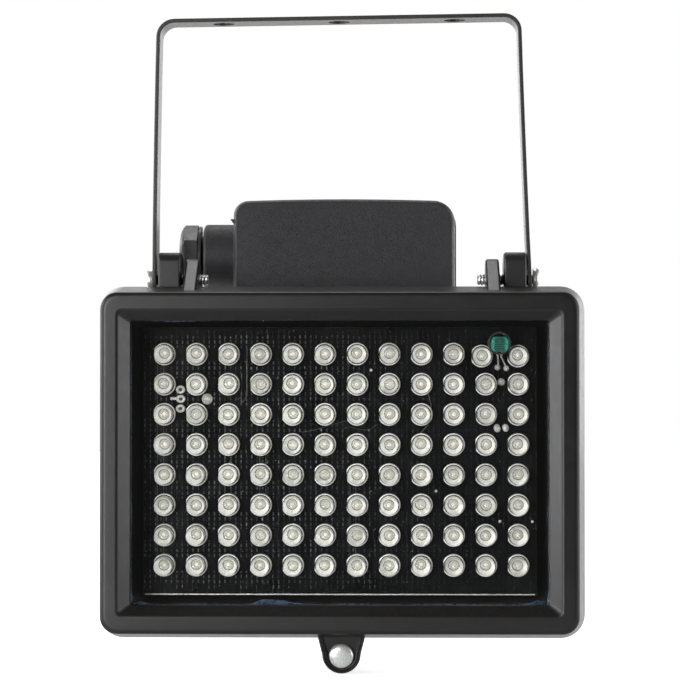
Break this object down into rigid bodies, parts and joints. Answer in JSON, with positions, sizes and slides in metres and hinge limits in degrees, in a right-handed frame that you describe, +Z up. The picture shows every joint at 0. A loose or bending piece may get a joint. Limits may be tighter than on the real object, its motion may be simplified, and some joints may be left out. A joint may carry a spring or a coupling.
{
  "type": "infrared illuminator",
  "caption": "Rectangular infrared illuminator with a hinged glass front over an emitter array, a rear wiring box with cable gland, and a U bracket to hang it by.",
  "frame": {"origin": "middle hole of the bracket's web, on the web's outer (top) face", "axes": "+Z up, out of the web's top face; +X to the right seen from the front; +Y to the back, so the glass faces -Y"},
  "size_m": [0.1204, 0.0621, 0.1637],
  "materials": {
    "black_casting": "satin black powder coat",
    "black_steel": "satin black paint",
    "zinc": "bright zinc plate",
    "pane": "clear polished",
    "silicone": "translucent",
    "black_rubber": "matt",
    "board": "black solder mask",
    "clear_resin": "clear cast resin",
    "sensor_face": "teal with fine tracks",
    "black_plastic": "fine grain",
    "resistor_coat": "lacquered",
    "lead_jacket": "soft plastic jacket"
  },
  "bodies": {
    "bracket": {"mounting_bracket": "black_steel"},
    "lamp": {"housing": "black_casting", "pivot_screw_left": "zinc", "pivot_screw_right": "zinc", "rim_gasket": "black_rubber", "circuit_board": "board", "board_bonds": "silicone", "ir_leds": "clear_resin", "light_sensor": "sensor_face", "sensor_sleeve": "black_plastic", "driver_transistor": "black_plastic", "series_resistors": "resistor_coat", "junction_box": "black_plastic", "box_seal": "black_rubber", "box_lid": "black_plastic", "box_lid_screws": "zinc", "box_screws": "zinc", "lead_grommet": "black_rubber", "power_leads": "lead_jacket", "terminal_block": "black_plastic", "terminal_screws": "zinc", "gland_body": "black_plastic", "gland_washer": "black_plastic", "gland_nut": "black_plastic", "gland_bush": "black_rubber"},
    "front": {"front_frame": "black_casting", "glass_sealant": "silicone", "glass_pane": "pane", "closing_screw": "zinc"}
  },
  "joints": [
    {"name": "tilt", "type": "hinge", "parent": "bracket", "child": "lamp", "pos_m": [0, 0, -0.0665], "axis": [1, 0, 0], "range_deg": [-15, 110]},
    {"name": "front_hinge", "type": "hinge", "parent": "lamp", "child": "front", "pos_m": [0, 0, -0.0665], "axis": [-1, 0, 0], "range_deg": [0, 45]}
  ]
}
